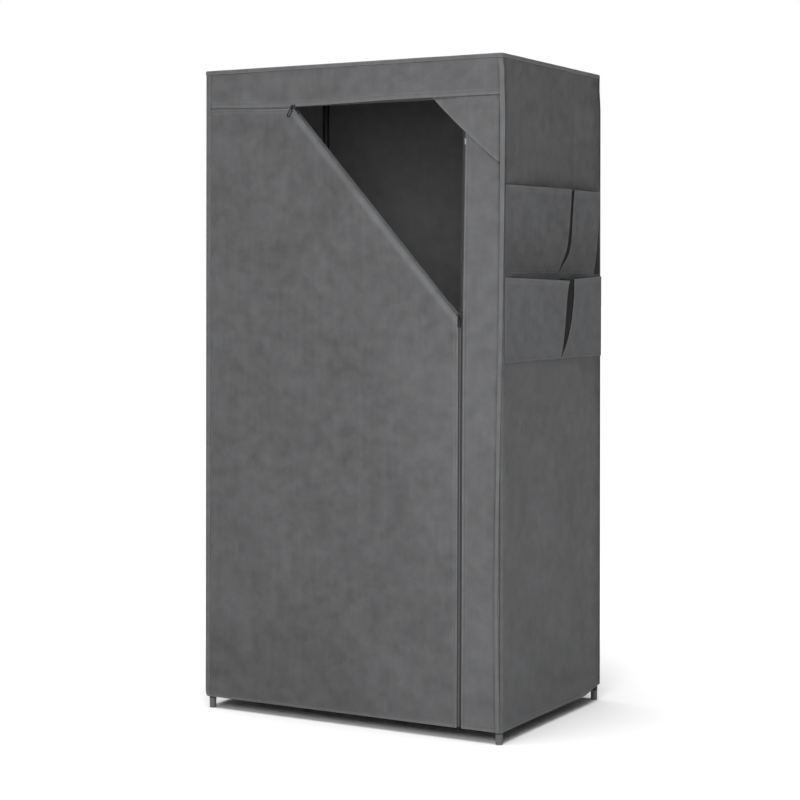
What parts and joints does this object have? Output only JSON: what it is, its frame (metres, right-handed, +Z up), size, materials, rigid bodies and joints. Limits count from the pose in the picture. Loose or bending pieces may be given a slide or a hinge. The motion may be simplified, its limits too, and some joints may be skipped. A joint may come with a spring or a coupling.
{
  "type": "portable fabric wardrobe",
  "caption": "Free-standing clothes wardrobe: a tube frame under a zipped grey cloth cover, one door corner folded in, with cloth pockets on its right side.",
  "frame": {"origin": "centre of the whole object's footprint, on the floor under the feet", "axes": "+X to the viewer's right facing the door, towards the pockets; +Y from the door to the back; +Z up"},
  "size_m": [0.781, 0.5254, 1.45],
  "materials": {
    "cover_cloth": "matte grey cloth with a fine weave",
    "pocket_cloth": "matte grey cloth with a fine weave",
    "frame_tube": "satin dark grey paint",
    "hub_plastic": "matte",
    "foot_plastic": "matte",
    "zip_tape": "woven tape with a nylon coil",
    "zip_metal": "gloss black paint"
  },
  "bodies": {
    "wardrobe": {"foot_front_left": "foot_plastic", "foot_front_right": "foot_plastic", "foot_back_left": "foot_plastic", "foot_back_right": "foot_plastic", "bottom_hub_front_left": "hub_plastic", "bottom_hub_front_right": "hub_plastic", "bottom_hub_back_left": "hub_plastic", "bottom_hub_back_right": "hub_plastic", "lower_post_front_left": "frame_tube", "lower_post_front_right": "frame_tube", "lower_post_back_left": "frame_tube", "lower_post_back_right": "frame_tube", "post_joiner_front_left": "hub_plastic", "post_joiner_front_right": "hub_plastic", "post_joiner_back_left": "hub_plastic", "post_joiner_back_right": "hub_plastic", "upper_post_front_left": "frame_tube", "upper_post_front_right": "frame_tube", "upper_post_back_left": "frame_tube", "upper_post_back_right": "frame_tube", "top_hub_front_left": "hub_plastic", "top_hub_front_right": "hub_plastic", "top_hub_back_left": "hub_plastic", "top_hub_back_right": "hub_plastic", "top_rail_front": "frame_tube", "top_rail_back": "frame_tube", "bottom_rail_front": "frame_tube", "bottom_rail_back": "frame_tube", "bottom_rail_left": "frame_tube", "bottom_rail_right": "frame_tube", "top_rail_left_front": "frame_tube", "top_rail_left_back": "frame_tube", "top_rail_right_front": "frame_tube", "top_rail_right_back": "frame_tube", "rail_bracket_left": "hub_plastic", "rail_bracket_right": "hub_plastic", "clothes_rail": "frame_tube", "cover_top": "cover_cloth", "cover_left": "cover_cloth", "cover_right": "cover_cloth", "cover_back": "cover_cloth", "cover_header": "cover_cloth", "cover_strip": "cover_cloth", "corner_gusset": "cover_cloth", "base_sheet": "cover_cloth", "pocket_upper_front": "pocket_cloth", "pocket_upper_back": "pocket_cloth", "pocket_lower_front": "pocket_cloth", "pocket_lower_back": "pocket_cloth", "header_zip_tape": "zip_tape", "strip_zip_tape": "zip_tape"},
    "door": {"door_panel": "cover_cloth", "door_top_zip_tape": "zip_tape", "door_side_zip_tape": "zip_tape"},
    "door_corner": {"door_corner_flap": "cover_cloth", "flap_zip_tape": "zip_tape"},
    "top_slider": {"top_zip_slider": "zip_metal"},
    "top_pull": {"top_zip_pull": "zip_metal"},
    "side_slider": {"side_zip_slider": "zip_metal"},
    "side_pull": {"side_zip_pull": "zip_metal"}
  },
  "joints": [
    {"name": "door_swing", "type": "hinge", "parent": "wardrobe", "child": "door", "pos_m": [-0.37935, -0.2573, 0.69], "axis": [0, 0, -1], "range_deg": [0, 100]},
    {"name": "corner_fold", "type": "hinge", "parent": "door", "child": "door_corner", "pos_m": [-0.14897, -0.2495, 1.353], "axis": [0.6668, 0, -0.7452], "range_deg": [0, 180]},
    {"name": "top_slider_travel", "type": "slide", "parent": "wardrobe", "child": "top_slider", "axis": [1, 0, 0], "range_m": [-0.201, 0.343]},
    {"name": "top_pull_swing", "type": "hinge", "parent": "top_slider", "child": "top_pull", "pos_m": [-0.1535, -0.2611, 1.36], "axis": [-0.866, 0, 0.5], "range_deg": [0, 170]},
    {"name": "side_slider_travel", "type": "slide", "parent": "wardrobe", "child": "side_slider", "axis": [0, 0, 1], "range_m": [-0.845, 0.354]},
    {"name": "side_pull_swing", "type": "hinge", "parent": "side_slider", "child": "side_pull", "pos_m": [0.261, -0.2611, 0.903], "axis": [-1, 0, 0], "range_deg": [0, 170]}
  ]
}
